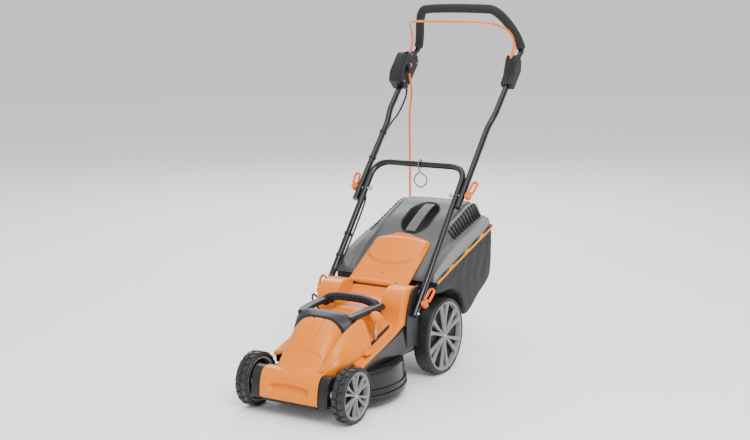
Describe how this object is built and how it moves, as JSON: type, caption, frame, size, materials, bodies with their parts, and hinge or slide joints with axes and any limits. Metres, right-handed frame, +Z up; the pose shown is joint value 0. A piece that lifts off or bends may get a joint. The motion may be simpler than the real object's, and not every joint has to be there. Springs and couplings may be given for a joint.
{
  "type": "push lawn mower",
  "caption": "Corded electric rotary lawn mower with a rear grass box, a folding tube handle with a bail lever, and spoked wheels on height-adjusting cranked axles.",
  "frame": {"origin": "on the ground under the middle of the machine's length and width", "axes": "+Z up; -Y towards the front wheels, the way it mows; +X to the left of the person pushing it"},
  "size_m": [0.452, 1.1522, 1.1383],
  "materials": {
    "tyre": "satin, lightly worn tread",
    "wheel_plastic": "silver-grey pigmented, satin",
    "bright_steel": "zinc plated",
    "motor_steel": "laminations and copper windings",
    "blade_steel": "rolled and ground at the cutting edges",
    "cast_alloy": "as cast",
    "capacitor_can": "smooth light grey",
    "orange_plastic": "moulded, semi-gloss",
    "cam_plastic": "moulded, semi-gloss",
    "black_shell": "moulded, glossy",
    "dark_plastic": "fine texture",
    "black_plastic": "fine texture",
    "lid_plastic": "fine texture",
    "strap_plastic": "satin, ribbed",
    "black_tube": "black powder coat, semi-gloss",
    "bail_paint": "yellow-orange coat",
    "black_foam": "soft closed-cell foam, matt",
    "bag_fabric": "woven, coated",
    "trim_plastic": "soft edging",
    "cable_jacket": "smooth, satin",
    "black_rubber": "moulded, satin",
    "lead_jacket": "smooth, satin"
  },
  "bodies": {
    "chassis": {"deck_shell": "black_shell", "motor_hood": "orange_plastic", "deck_cover": "orange_plastic", "front_apron": "orange_plastic", "carry_handle": "dark_plastic", "motor_lower_bell": "cast_alloy", "motor_upper_bell": "cast_alloy", "motor_stator": "motor_steel", "lower_bearing": "bright_steel", "upper_bearing": "bright_steel", "run_capacitor": "capacitor_can", "lower_handle": "black_tube", "handle_bracket_left": "black_shell", "handle_bracket_right": "black_shell", "fold_bolt_left": "bright_steel", "fold_bolt_right": "bright_steel", "cable_hook": "bright_steel", "flap_hinge_pin": "bright_steel", "flap_spring": "bright_steel", "motor_cable_lower": "cable_jacket", "mains_lead": "lead_jacket", "mains_coil": "lead_jacket", "mains_plug": "black_rubber"},
    "blade_set": {"motor_rotor": "motor_steel", "blade_holder": "cast_alloy", "blade": "blade_steel", "blade_bolt": "bright_steel"},
    "front_crank": {"front_axle": "bright_steel"},
    "rear_crank": {"rear_axle": "bright_steel"},
    "front_wheel_left": {"front_wheel_left_tyre": "tyre", "front_wheel_left_rim": "wheel_plastic"},
    "front_wheel_right": {"front_wheel_right_tyre": "tyre", "front_wheel_right_rim": "wheel_plastic"},
    "rear_wheel_left": {"rear_wheel_left_tyre": "tyre", "rear_wheel_left_rim": "wheel_plastic"},
    "rear_wheel_right": {"rear_wheel_right_tyre": "tyre", "rear_wheel_right_rim": "wheel_plastic"},
    "tie_rod": {"height_tie_rod": "bright_steel"},
    "height_control": {"height_lever": "bright_steel", "height_knob": "orange_plastic"},
    "flap": {"rear_flap": "orange_plastic"},
    "grass_box": {"box_lid": "lid_plastic", "box_grip": "strap_plastic", "grass_bag": "bag_fabric", "box_mouth_frame": "dark_plastic", "bag_trim": "trim_plastic"},
    "upper_frame": {"upper_handle": "black_tube", "foam_grip": "black_foam", "switch_case_outer": "dark_plastic", "switch_case_inner": "dark_plastic", "safety_switch": "black_plastic", "bail_bracket": "dark_plastic", "motor_cable_upper": "cable_jacket", "lead_gland": "black_rubber"},
    "fold_release_left": {"fold_cam_left": "cam_plastic"},
    "fold_release_right": {"fold_cam_right": "cam_plastic"},
    "foot_release_left": {"foot_cam_left": "cam_plastic"},
    "foot_release_right": {"foot_cam_right": "cam_plastic"},
    "bail": {"bail_lever": "bail_paint"},
    "lock": {"lock_button": "cam_plastic"}
  },
  "joints": [
    {"name": "rear_height_crank", "type": "hinge", "parent": "chassis", "child": "rear_crank", "pos_m": [0, -0.0105, 0.13], "axis": [1, 0, 0], "range_deg": [-26, 10]},
    {"name": "front_height_crank", "type": "hinge", "parent": "chassis", "child": "front_crank", "pos_m": [0, -0.5465, 0.09], "axis": [1, 0, 0], "range_deg": [-26, 10]},
    {"name": "height_lever_swing", "type": "hinge", "parent": "chassis", "child": "height_control", "pos_m": [0.12, -0.2885, 0.128], "axis": [1, 0, 0], "range_deg": [-26, 10]},
    {"name": "tie_rod_pin", "type": "hinge", "parent": "rear_crank", "child": "tie_rod", "pos_m": [0.11, -0.0105, 0.156], "axis": [1, 0, 0], "range_deg": [-10, 26]},
    {"name": "front_wheel_left_spin", "type": "hinge", "parent": "front_crank", "child": "front_wheel_left", "pos_m": [0.16, -0.4965, 0.08], "axis": [1, 0, 0], "continuous": true},
    {"name": "front_wheel_right_spin", "type": "hinge", "parent": "front_crank", "child": "front_wheel_right", "pos_m": [-0.16, -0.4965, 0.08], "axis": [1, 0, 0], "continuous": true},
    {"name": "rear_wheel_left_spin", "type": "hinge", "parent": "rear_crank", "child": "rear_wheel_left", "pos_m": [0.16, 0.0395, 0.12], "axis": [1, 0, 0], "continuous": true},
    {"name": "rear_wheel_right_spin", "type": "hinge", "parent": "rear_crank", "child": "rear_wheel_right", "pos_m": [-0.16, 0.0395, 0.12], "axis": [1, 0, 0], "continuous": true},
    {"name": "blade_spin", "type": "hinge", "parent": "chassis", "child": "blade_set", "pos_m": [0, -0.2905, 0.1], "axis": [0, 0, 1], "continuous": true},
    {"name": "flap_lift", "type": "hinge", "parent": "chassis", "child": "flap", "pos_m": [0, -0.0765, 0.296], "axis": [1, 0, 0], "range_deg": [0, 75], "stiffness_Nm_per_rad": 0.25, "springref_deg": -20.05},
    {"name": "grass_box_draw", "type": "slide", "parent": "chassis", "child": "grass_box", "axis": [0, 0.857, 0.5153], "range_m": [0, 0.4]},
    {"name": "handle_fold", "type": "hinge", "parent": "chassis", "child": "upper_frame", "pos_m": [0, 0.1405, 0.551], "axis": [1, 0, 0], "range_deg": [0, 138]},
    {"name": "fold_cam_left_turn", "type": "hinge", "parent": "upper_frame", "child": "fold_release_left", "pos_m": [0.208, 0.1405, 0.551], "axis": [0, 0.7358, -0.6772], "range_deg": [0, 90]},
    {"name": "foot_cam_left_turn", "type": "hinge", "parent": "chassis", "child": "foot_release_left", "pos_m": [0.1875, -0.1105, 0.257], "axis": [0, 0.7358, -0.6772], "range_deg": [0, 90]},
    {"name": "fold_cam_right_turn", "type": "hinge", "parent": "upper_frame", "child": "fold_release_right", "pos_m": [-0.208, 0.1405, 0.551], "axis": [0, -0.7358, 0.6772], "range_deg": [0, 90]},
    {"name": "foot_cam_right_turn", "type": "hinge", "parent": "chassis", "child": "foot_release_right", "pos_m": [-0.1875, -0.1105, 0.257], "axis": [0, -0.7358, 0.6772], "range_deg": [0, 90]},
    {"name": "bail_pull", "type": "hinge", "parent": "upper_frame", "child": "bail", "pos_m": [0, 0.4895, 0.962], "axis": [1, 0, 0], "range_deg": [-20, 0], "stiffness_Nm_per_rad": 1.2, "springref_deg": 34.38},
    {"name": "lock_press", "type": "slide", "parent": "upper_frame", "child": "lock", "axis": [-1, 0, 0], "range_m": [0, 0.004], "stiffness_N_per_m": 400, "springref_m": -0.002}
  ],
  "couplings": [
    {"joint": "front_height_crank", "follows": "rear_height_crank", "ratio": 1},
    {"joint": "height_lever_swing", "follows": "rear_height_crank", "ratio": 1},
    {"joint": "tie_rod_pin", "follows": "rear_height_crank", "ratio": -1}
  ]
}
